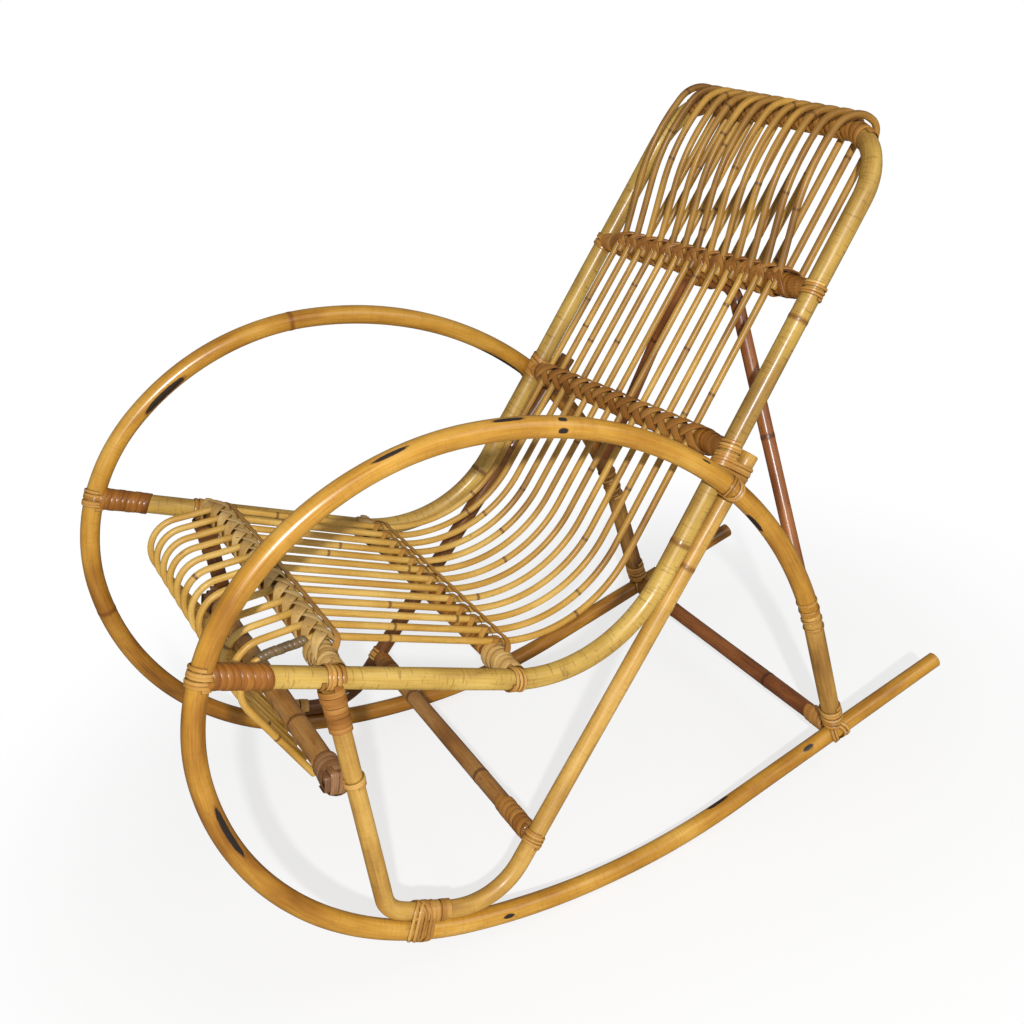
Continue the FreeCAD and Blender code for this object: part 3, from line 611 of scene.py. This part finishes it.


# Joints in the bark and darker lengths (painted shade, strongest on the far hoop) as lengths along each hoop, rubbed
# spots as length, facing, reach and spread
hoopMarks = {
    "left": {
        "rings": [], "dim": ((0, 0.4, -0.07), (1.0, 1.5, -0.07), (1.0, 1.36, -0.11), (2.08, 2.5, -0.08)),
        "wear": [(1.175, (0.82, 0.37, 0.43), 0.056, 0.42), (1.6829, (0.48, -0.09, 0.87), 0.03, 0.28),
                 (1.8204, (0.35, 0.22, 0.91), 0.028, 0.26), (2.096, (0.72, 0.49, 0.49), 0.013, 0.16),
                 (2.2233, (0.38, -0.78, -0.49), 0.026, 0.48), (0.3878, (-0.26, -0.16, 0.95), 0.024, 0.42),
                 (0.2377, (0.62, -0.14, 0.77), 0.012, 0.35), (0.7226, (0.97, 0.07, 0.22), 0.011, 0.3),
                 (1.8861, (0.5, 0.1, 0.86), 0.008, 0.34), (1.8861, (0.98, 0.1, -0.1), 0.009, 0.36)],
    },
    "right": {
        "rings": [1.2009, 1.751], "dim": ((-0.1, 0.12, -0.15), (0, 1.25, -0.19), (2.15, 3, -0.26)),
        "wear": [(1.5484, (0.946, 0.158, -0.282), 0.05, 0.58), (2.0997, (0.24, -0.68, -0.69), 0.056, 0.6)],
    },
}


def dimmer(spans):
    # Darker or paler lengths of a pole, blended at their ends
    blend = 0.08

    def toneAt(s):
        return sum(change * min(1, max(0, (s - start) / blend + 0.5)) * min(1, max(0, (end - s) / blend + 0.5))
                   for start, end, change in spans)
    return toneAt


for name, side in sides:
    spots, near = hoopMarks[name], side > 0  # the camera stands to the left
    wear = [(at, Vector(toward).normalized(), reach, spread) for at, toward, reach, spread in spots["wear"]]
    # The hoop's dim lengths darken it as painted shade
    finishPole(f"{name}_hoop_pole", hoopR, goldenPole,
               {"seed": 3.1 + side, "step": 2.5, "round": 12, "taper": 0.15, "rings": spots["rings"],
                "toneAt": dimmer(spots["dim"]), "wear": wear})
    # The far post and the far brace are darker than the near ones: painted shade
    finishPole(f"{name}_rear_post", hoopR, dullPole,
               {"seed": 5 + side, "tone": -0.15 if near else -0.3})
    finishPole(f"{name}_brace_pole", braceR, dullPole if near else brownAndShadePole,
               {"seed": 7 + side, "rings": [0.1525], "tone": -0.02 if near else -0.26, "before": 0.009})
# The frame darkens from the near stile on round the top: painted shade
finishPole("seat_back_frame", frameR, yellowPole,
           {"rings": [0.6807, 0.9887, 1.62, 2.25], "seed": 1.3,
            "toneAt": dimmer(((0.68, 1.6, -0.12), (1.6, 3, -0.05)))})
finishPole("back_prop", chair["prop"] / 2, russetPole,
           {"rings": [0.1863, 0.3681, 0.62, 0.9], "seed": 2.2, "tone": -0.12})
crossbars = ("front_crossbar", "mid_seat_crossbar", "lower_back_crossbar", "upper_back_crossbar")
barLooks = {
    **{node: (chair["bar"], brownAndShadePole, "bar") for node in crossbars},
    "front_lower_bar": (chair["frontBar"], brownAndShadePole, "brown_pole"),
    "middle_stretcher": (chair["stretcher"], brownAndShadePole, "brown_pole"),
    "rear_stretcher": (chair["stretcher"], russetPole, "brown_pole"),
}
barTones, barRings = {"front_lower_bar": 0.08, "rear_stretcher": -0.16}, {"first": 0.14, "spacing": 0.26}
for i, (node, (diameter, material, slot)) in enumerate(barLooks.items()):
    finishPole(node, diameter / 2, material,
               {"rings": spacedRings(routes[node].length, **barRings), "seed": 11 + i, "tone": barTones.get(node, 0)})
# The head reeds' rear runs are made paler, painted light where the front reeds shade them; the seat reeds are darker on
# their back run
reedKinds = {
    "seat": {"radius": reedR, "ringWithin": 0.25, "ringSpacing": 0.3, "tone": 0.06, "toneRange": 0.12,
             "backFrom": 0.6, "backTone": -0.14, "seed": 20, "look": {"step": 6, "point": 0.012}},
    "head": {"radius": headR + chair["headFuller"], "ringWithin": 0.2, "ringSpacing": 0.24, "tone": -0.16,
             "toneRange": 0.14, "backFrom": 0.55, "backTone": 0.07, "seed": 40, "look": {"step": 4}},
}
for i in range(1, chair["reeds"] + 1):
    for kind, reed in reedKinds.items():
        node = f"{kind}_reed_{i:02d}"
        length = routes[node].length
        rings = spacedRings(length, 0.05 + reed["ringWithin"] * chance.random(), reed["ringSpacing"])
        tone = reed["tone"] + reed["toneRange"] * (chance.random() - 0.5)
        toneAt = dimmer(((length * reed["backFrom"], 2 * length, reed["backTone"]),))
        finishPole(node, reed["radius"], reedSkin,
                   {**reed["look"], "rings": rings, "tone": tone, "toneAt": toneAt, "seed": reed["seed"] + i,
                    "round": 3, "ringReach": 4})
print("poles and reeds", len(routes))


# Peel lashings: crowned strips laid along a path, those of one kind of joint in one piece
stripShape = ((-0.5, 0), (0.5, 0), (0.5, 0.45), (0.27, 1), (-0.27, 1), (-0.5, 0.45))  # shares of width and thickness
bindings = {}
winding = {"perTurn": 22, "fewest": 14, "sway": 6.28, "drift": 0.7, "driftRate": 0.41, "lift": 0.4, "bounce": 0.3,
           "bounceRate": 0.67}
capFold = {"offsets": (-11, -4, 4, 11), "tilt": (0.35, 0.3, 1), "lift": 0.6, "dome": 3, "width": 12, "thick": 1.2}


def addStrip(piece, path, width, thick):
    bindings.setdefault(piece, []).append((path, width, thick))


def lash(piece, poles, place, reach, turns, width, thick, slant=0, phase=0, flare=(0, 0)):
    # A strip wound round one pole, or round two that lie together, near a place
    route = routes[poles[0]]
    middle, sway = route.nearest(place), winding["sway"] * chance.random()
    steps = max(winding["fewest"], round(abs(turns) * winding["perTurn"]))
    path = []
    for i in range(steps + 1):
        t = i / steps
        angle = phase + 2 * math.pi * turns * t
        shift = slant * math.cos(angle) + winding["drift"] * math.sin(winding["driftRate"] * angle + sway)
        centre, along = route.at(middle + (reach[0] + (reach[1] - reach[0]) * t + shift) * mm)
        across = Vector((0, 0, 1)) if abs(along.x) > 0.8 else Vector((1, 0, 0))
        first = (across - along * across.dot(along)).normalized()
        out = first * math.cos(angle) + along.cross(first) * math.sin(angle)
        hull = [(poleRadius[poles[0]] * mm, centre)]
        for other in poles[1:]:
            offset = routes[other].at(routes[other].nearest(centre))[0] - centre
            offset -= along * offset.dot(along)
            hull.append((poleRadius[other] * mm, centre + offset))
        radius, core = max(hull, key=lambda row: row[0] + (row[1] - centre).dot(out))
        lift = winding["lift"] + winding["bounce"] * math.sin(winding["bounceRate"] * angle + sway)
        lift += flare[0] * (1 - t) ** 2 + flare[1] * t ** 2
        path.append((core + out * (radius + lift * mm), out))
    addStrip(piece, path, width, thick)


def capEnd(piece, node, index):
    # Broad strips folded over a bar's end
    end, way = routes[node].at(routes[node].length * index)
    way *= 1 if index else -1
    tilt = way.cross(Vector(capFold["tilt"])).normalized()
    fold, radius = way.cross(tilt), poleRadius[node] + capFold["lift"]
    for offset in capFold["offsets"]:
        half = math.sqrt(radius ** 2 - offset ** 2)
        dome = capFold["dome"] * half / radius
        keys = [(end + (tilt * offset + fold * half * u + way * (dome * rise + inside)) * mm,
                 fold * u * side + way * rise)
                for u, rise, inside, side in ((-1, 0, -16, 1), (-1, 0, -2, 1), (-0.75, 0.6, 0, 0.6), (0, 1, 0, 0),
                                              (0.75, 0.6, 0, 0.6), (1, 0, -2, 1), (1, 0, -16, 1))]
        addStrip(piece, smoothPath(keys, 4), capFold["width"], capFold["thick"])


def smoothPath(keys, steps=6):
    path = []
    for i in range(len(keys) - 1):
        four = [keys[min(max(i + k, 0), len(keys) - 1)] for k in (-1, 0, 1, 2)]
        for j in range(steps):
            t = j / steps
            weights = ((2 * t - 1 - t * t) * t / 2, 1 - 2.5 * t * t + 1.5 * t ** 3, (1 + 4 * t - 3 * t * t) * t / 2,
                       (t - 1) * t * t / 2)
            path.append(tuple(sum((key[n] * w for key, w in zip(four, weights)), Vector((0, 0, 0))) for n in (0, 1)))
    return path + [keys[-1]]


def peelPiece(name, strips, material, node=None):
    verts, faces, bark, marks = [], [], [], []
    broad, flatter, edgeShade, count = 6, 1.5, 0.8, len(stripShape)  # strips over 6 mm lie flatter, their edges get painted shade
    for path, width, thick in strips:
        tone, seed, start, walked = 0.1 * (chance.random() - 0.6), 9 * chance.random(), len(verts), 0
        for i, (place, out) in enumerate(path):
            before, after = path[max(i - 1, 0)][0], path[min(i + 1, len(path) - 1)][0]
            along = (after - before).normalized()
            out = (out - along * out.dot(along)).normalized()
            across = out.cross(along)
            walked += (place - before).length
            for share, rise in stripShape:
                share *= flatter if rise == 1 and width > broad else 1
                verts.append(place + across * (share * width * mm) + out * (rise * thick * mm))
                bark += [share * width * mm, seed, walked + seed]
                marks += [0 if rise == 1 else edgeShade, 0, tone]
        for row in range(start, len(verts) - count, count):
            for j in range(count):
                k = (j + 1) % count
                faces.append((row + j, row + k, row + count + k, row + count + j))
        faces += [tuple(range(start, start + count)), tuple(range(len(verts) - count, len(verts)))]
    mesh = bpy.data.meshes.new(name)
    mesh.from_pydata(verts, [], faces)
    setMarks(mesh, bark, marks)
    piece = bpy.data.objects.new(name, mesh)
    bpy.context.collection.objects.link(piece)
    bpy.ops.object.select_all(action="DESELECT")
    piece.select_set(True)
    bpy.context.view_layer.objects.active = piece
    faceOutward(crease=42)
    finishPiece(piece, material, node)


# Bars that carry reeds: a local frame along the bar, up to the reeds and along the reeds
reedBars = {}
for node, flat in zip(crossbars, (frontBar, midBar, lowBackBar, highBackBar)):
    normal = backNormal if "back" in node else seatNormal
    left, right = barEnds[node]
    along = (left - right).normalized()
    up = framePlane.vector(normal, 1)
    up = (up - along * up.dot(along)).normalized()
    middle = (left + right) / 2
    reedsAt = [(fanned(share, flat + normal * overBar) - middle).dot(along) / mm for share in shares]
    reedBars[node] = (middle, along, up, up.cross(along), reedsAt)


def onBar(node, x, v, n, outV, outN):
    # A place along, across and above the bar in millimetres, and the way that a strip faces there
    middle, along, up, ahead = reedBars[node][:4]
    return middle + (along * x + ahead * v + up * n) * mm, ahead * outV + up * outN


# A strip's way down beside a reed: shares of its reach along the bar, places across and above it, facings
reedFall = ((0.3, 3.5, 19.5, 0.2, 1), (0.7, 8.5, 13, 0.6, 0.8), (1, 11.6, 4, 1, 0.3), (1.2, 11.8, -4, 1, -0.3))
weave = {"lift": 1, "uneven": 0.4, "under": 1.4, "leanHeight": 20,
         "first": (1.2, -5, -5, -1, -0.3), "last": (1.4, 0, -6, 0, -1)}  # both ends go into the bar
cane = {"over": 1, "sag": 0.4, "tilt": 0.25, "falls": ((28, 9, 9.3), (15, 2, 3))}  # past the reeds, back and down
braidPath = ((-17, -6, 19.5, 0, 1), (-9, -1.5, 21.6, 0, 1), (0, 5, 22.6, 0.1, 1), (8, 11, 20, 0.5, 0.9),
             (13, 14.5, 12, 1, 0.4), (16, 13.5, 2, 1, -0.1), (17, 8, -9, 0.6, -0.8))


def crossWeave(piece, node, shift, wide, behind, width, thick, deep=1, ahead=0, loose=2):
    # Two strips of opposite hand that cross over every reed and meet under the bar
    for hand in (1, -1):
        keys, reedsAt = [], reedBars[node][4][::hand]
        for x in reedsAt:
            x += shift + loose * (chance.random() - 0.5)
            top = overBar + reedR + (weave["lift"] if hand > 0 else 0) + weave["uneven"] * chance.random()
            rise = [(-dx, -v, n, -outV, outN) for dx, v, n, outV, outN in reedFall[::-1]]
            for dx, v, n, outV, outN in (*rise, (0, 0, top, 0, 1), *reedFall, (weave["under"], 0, -behind, 0, -1)):
                across = v * deep + ahead * max(0, n) / weave["leanHeight"]
                keys.append(onBar(node, x + hand * dx * wide, across, n, outV, outN))
        (before, *start), (after, *end) = weave["first"], weave["last"]
        keys[0] = onBar(node, reedsAt[0] + shift - before * hand * wide, *start)
        keys[-1] = onBar(node, reedsAt[-1] + shift + after * hand * wide, *end)
        addStrip(piece, smoothPath(keys), width, thick)


def runner(piece, node, v, width, thick, wave):
    # A flat cane laid along the bar over the reeds and down to the rails
    reedsAt, over = reedBars[node][4], overBar + reedR + cane["over"]
    line = [(reedsAt[0] - past, v - back, over - down) for past, back, down in cane["falls"]]
    for x, after in zip(reedsAt, reedsAt[1:]):
        line += [(x, v + wave, over), ((x + after) / 2, v - wave, over - cane["sag"])]
    line.append((reedsAt[-1], v, over))
    line += [(reedsAt[-1] + past, v - back, over - down) for past, back, down in cane["falls"][::-1]]
    keys = [onBar(node, x, side, n, cane["tilt"], 1) for x, side, n in line]
    addStrip(piece, smoothPath(keys, 4), width, thick)


def braid(piece, node, spread, width, thick):
    # Herringbone of short strips in front of the reeds, tucked under the bar
    secondRow, loose = 9, 2
    for x in reedBars[node][4]:
        for row in (1, -1):
            shift = x + (0 if row > 0 else secondRow * spread) + loose * (chance.random() - 0.5)
            keys = [onBar(node, shift + dx * spread, row * v, n, row * outV, outN)
                    for dx, v, n, outV, outN in braidPath]
            addStrip(piece, smoothPath(keys, 4), width, thick)


braid("frontBarWeave", "front_crossbar", spread=1.17, width=15.5, thick=1.1)
crossWeave("midBarWeave", "mid_seat_crossbar", shift=0, wide=14, behind=12.4, width=9, thick=0.9)
knots = ((4, 10, 21, 10, 1.8, 1.25, 7, 4), (-3, 8, 13, 8, 1.8, 1.2, 4, 5), (9, 12, 16, 6.5, 2.2, 1.3, 9, 6))
for knot in knots:  # shift, wide, behind, width, thick, deep, ahead, loose
    crossWeave("upperBarKnots", "upper_back_crossbar", *knot)
runner("frontBarRunner", "front_crossbar", v=17, width=8.5, thick=2.2, wave=0.6)
runner("midBarRunner", "mid_seat_crossbar", v=10.5, width=8, thick=2.2, wave=0.8)
braid("lowerBarBraid", "lower_back_crossbar", spread=1, width=12.5, thick=1.3)

tieAt = {"braceFoot": 0.7154, "rocker": 0.8438, "arm": 2.1588, "aboveArm": 23}  # metres along a pole, last one in mm
quarter = math.pi / 2
reedMargin, inside, pitch, strandPitch = 8, 7, 7, 2.4  # wraps on the bars' ends
for index, (name, side) in enumerate(sides):
    hoop, post, brace, rail = f"{name}_hoop_pole", f"{name}_rear_post", f"{name}_brace_pole", "seat_back_frame"
    railEnd, legHead = framePlane.point(joint, side), framePlane.point(legTop, side)
    legSpot, postSpot = footPlane.point(legThere, side), hoopPlane.point(postFoot, side)
    legTip, footSpot = (routes[brace].at(s)[0] for s in (routes[brace].length, tieAt["braceFoot"]))
    rockerSpot, armSpot = (routes[hoop].at(tieAt[spot])[0] for spot in ("rocker", "arm"))
    stileSpot = onBrace(bracePass + heading(braceAngle) * tieAt["aboveArm"], side)
    lowerEnd, middleEnd, rearEnd = (
        barEnds[node][index] for node in ("front_lower_bar", "middle_stretcher", "rear_stretcher"))
    ties = (  # piece, poles, place, reach along the pole, turns, width, thickness, slant, phase, flare at both ends
        ("railEndBindings", [rail], railEnd, (3 * side, 75 * side), 9.6, 8.6, 1.3, 4, 0, (0.8, 0)),
        ("hoopRailStrands", [hoop], railEnd, (-12, 12), 5, 5, 2.2, 1.5),
        ("legTopBindings", [brace], legTip, (1, -60), 8.6, 7.6, 1.6, 3, 0, (2.5, 0.3)),
        ("railLegStrands", [rail], legHead, (-10 * side, 13 * side), 4, 5.6, 1.8),
        ("lowerBarBindings", ["front_lower_bar"], lowerEnd, (4 * side, 42 * side), 3.5, 12, 1.6, 4, 0, (2.5, 1)),
        ("legRing", [brace], legSpot, (-3, 5), 1.8, 7, 1.8),
        ("stretcherBindings", ["middle_stretcher"], middleEnd, (0, 70 * side), 7, 11, 1.2, 3),
        ("braceStrands", [brace], middleEnd, (-9, 9), 4, 4.4, 1.8),
        ("rearStretcherBindings", ["rear_stretcher"], rearEnd, (0, 38 * side), 4, 10.4, 1.2, 3),
        ("postFootStrands", [post], postSpot, (-3, -32), 5, 5.2, 1.8, 2),
        *(("rockerCrossStrands", [hoop], postSpot, (-5, 5), 2, 4.6, 1.9, slant, quarter) for slant in (10, -10)),
        ("braceFootWraps", [brace], footSpot, (-24, 22), 6, 7.4, 1.6, 3),
        *(("rockerStrands", [hoop, brace], rockerSpot, (-9, 9), 3, 4.8, 1.8, slant, quarter) for slant in (9, -9)),
        *(("armCrossStrands", [hoop, brace], armSpot, (-6, 6), 2.5, 4.4, 1.8, slant, quarter) for slant in (8, -8)),
        ("stileStrands", [rail, brace], stileSpot, (-12 * side, 12 * side), 6, 4.8, 1.9, 3),
    )
    for tie in ties:
        lash(*tie)
    capEnd("lowerBarBindings", "front_lower_bar", index)
    spliceSpot = hoopPlane.point(spliceMiddle, side)
    for node, reach in ((hoop, (-24, -20)), (hoop, (-10, -6)), (post, (6, 10)), (post, (20, 24))):
        lash("spliceBands", [node], spliceSpot, reach, turns=1.1, width=3.6, thick=0.9)
    for node, piece, swell, strands, width in (
            ("front_crossbar", "frontBarEnds", 8, 0, 9), ("mid_seat_crossbar", "midBarEnds", 6, 3.6, 4.5),
            ("lower_back_crossbar", "lowerBarEnds", 6, 5, 4.4), ("upper_back_crossbar", "upperBarEnds", 4, 4, 4.2)):
        end, reedsAt = barEnds[node][index], reedBars[node][4]
        free = (end - reedBars[node][0]).length / mm - abs(reedsAt[-1 if side > 0 else 0]) - frameR - reedMargin
        turns = max(2, (free + inside) / pitch)
        lash(piece, [node], end, (-inside * side, free * side), turns, width=14, thick=0.7, slant=3, flare=(2, swell))
        if strands:
            half = strands * strandPitch * side
            lash("barStrands", [rail], end, (-half, half), strands, width, thick=1.8, slant=2)
topMiddle = (framePlane.point(topCorner, 1) + framePlane.point(topCorner, -1)) / 2
greyReed, prop = routes["seat_reed_13"], routes["back_prop"]  # the nearest reed is wrapped where it rolls over
rollSpot = greyReed.at(greyReed.nearest(fanned(1, rollTop)))[0]
frontMiddle, midMiddle, upperMiddle = (reedBars[crossbars[i]][0] for i in (0, 1, 3))
covers = (  # piece, pole, place, reach along the pole, turns, width, thickness, slant
    ("upperBarCover", "upper_back_crossbar", upperMiddle, (-170, 170), 37, 9.4, 1.2, 2),
    ("frontBarCover", "front_crossbar", frontMiddle, (-205, 205), 36, 11.6, 0.8, 2),
    ("midBarCover", "mid_seat_crossbar", midMiddle, (-195, 195), 34, 11.6, 0.8, 2),
    ("reedWrap", "seat_reed_13", rollSpot, (-74, -16), 10, 6.6, 1, 1.5),
    ("topBarWraps", "seat_back_frame", topMiddle, (-190, 190), 36, 9.6, 1.1, 2),
    ("propTopWrap", "back_prop", prop.at(prop.length / 2)[0], (-16, 16), 4, 8, 1.4, 0),
)
for piece, pole, *settings in covers:
    lash(piece, [pole], *settings)

peelGroups = (  # all other bindings are golden
    (brownPeel, ("legTopBindings", "stretcherBindings", "rearStretcherBindings", "lowerBarEnds", "upperBarEnds",
                 "topBarWraps", "propTopWrap", "lowerBarBraid", "upperBarKnots", "upperBarCover", "frontBarCover",
                 "midBarCover")),
    (tanPeel, ("frontBarEnds", "midBarEnds", "frontBarWeave")),
    (russetPeel, ("railEndBindings",)), (greyPeel, ("lowerBarBindings",)), (ashPeel, ("reedWrap",)),
)
peelOf = {piece: material for material, pieces in peelGroups for piece in pieces}
lashingNodes = {"railEndBindings": "rail_end_lashings", "legTopBindings": "leg_top_lashings",
                "lowerBarBindings": "front_bar_lashings"}
for piece, strips in bindings.items():
    peelPiece(piece, strips, peelOf.get(piece, goldenPeel), lashingNodes.get(piece))
print("lashings", len(bindings))


# Stage: pale floor, soft studio light, camera at the photograph's angle
stage = {"floorSize": 60, "floorColor": "#f4f4f3", "mirroredFloor": "#5a5a5a", "nearShadow": 0.5, "pastShadow": 1.0,
         "leastWhite": 0.7, "world": 0.38, "mirroredWorld": 0.12, "aim": (0, 0, 0.42)}
lamps = {"keyBox": {"back": 3.8, "right": 0.1, "up": 0.2, "rise": 0, "size": 0.1, "power": 118},
         "fillBox": {"back": 1.0, "right": 2.0, "up": 0, "rise": 1.2, "size": 1.6, "power": 9}}
bpy.ops.object.select_all(action="DESELECT")
bpy.ops.mesh.primitive_plane_add(size=stage["floorSize"], location=(0, 0, 0))
floor = bpy.context.object
floor.name = "paleFloor"
paper = bpy.data.materials.new("palePaper")  # white sweep, the chair's shadow fades out into plain white
tree = emptyTree(paper)
ray = addNode(tree, "LightPath").node.outputs
place = addNode(tree, "NewGeometry")
away = addNode(tree, "VectorMath", {0: place}, operation="LENGTH").node.outputs["Value"]
fade = addNode(tree, "MapRange", {
    "Value": away, "From Min": stage["nearShadow"], "From Max": stage["pastShadow"], "To Min": stage["leastWhite"]},
    interpolation_type="SMOOTHSTEP")
plain = addNode(tree, "Math", {0: fade, 1: ray["Is Camera Ray"]}, operation="MULTIPLY")
dulled = addNode(tree, "Mix", {  # the varnish mirrors a dim room
    0: ray["Is Glossy Ray"], 6: linear(stage["floorColor"]), 7: linear(stage["mirroredFloor"])}, data_type="RGBA")
lit = addNode(tree, "BsdfDiffuse", {"Color": dulled})
white = addNode(tree, "Emission", {"Color": (1, 1, 1, 1), "Strength": 1.0})
sweep = addNode(tree, "MixShader", {0: plain, 1: lit, 2: white})
addNode(tree, "OutputMaterial", {"Surface": sweep})
floor.data.materials.append(paper)

world = bpy.context.scene.world or bpy.data.worlds.new("studio")
bpy.context.scene.world = world
tree = emptyTree(world)
ray = addNode(tree, "LightPath").node.outputs
dim = addNode(tree, "MapRange", {
    "Value": ray["Is Glossy Ray"], "To Min": stage["world"], "To Max": stage["mirroredWorld"]})
glow = addNode(tree, "Math", {0: dim, 1: ray["Is Camera Ray"]}, operation="MAXIMUM")
sky = addNode(tree, "Background", {"Color": (1, 1, 1, 1), "Strength": glow})
addNode(tree, "OutputWorld", {"Surface": sky})

photo = {"place": (1.5505, -0.6195, 1.2908), "right": (0.4510, 0.8789, -0.1558), "up": (-0.3414, 0.3311, 0.8796),
         "lens": 49.07, "sensor": 36, "shift": (-0.0032, -0.0148)}
cameraRight, cameraUp = Vector(photo["right"]), Vector(photo["up"])
cameraBack = cameraRight.cross(cameraUp).normalized()
bpy.ops.object.camera_add()
camera = bpy.context.object
camera.name = "photoCamera"
camera.data.lens = photo["lens"]
camera.data.sensor_width = photo["sensor"]
camera.data.shift_x, camera.data.shift_y = photo["shift"]
facing = Matrix((cameraRight, cameraUp, cameraBack)).transposed().to_4x4()
camera.matrix_world = Matrix.Translation(Vector(photo["place"])) @ facing
bpy.context.scene.camera = camera
aim = Vector(stage["aim"])
for name, soft in lamps.items():
    offset = cameraBack * soft["back"] + cameraRight * soft["right"] + cameraUp * soft["up"]
    offset += Vector((0, 0, soft["rise"]))
    place = aim + offset
    bpy.ops.object.light_add(type="AREA", location=place)
    lamp = bpy.context.object
    lamp.name = name
    lamp.data.shape = "DISK"
    lamp.data.size = soft["size"]
    lamp.data.energy = soft["power"]
    lamp.rotation_euler = (aim - place).to_track_quat("-Z", "Y").to_euler()
bpy.context.scene.view_settings.view_transform = "Standard"
print("stage set")
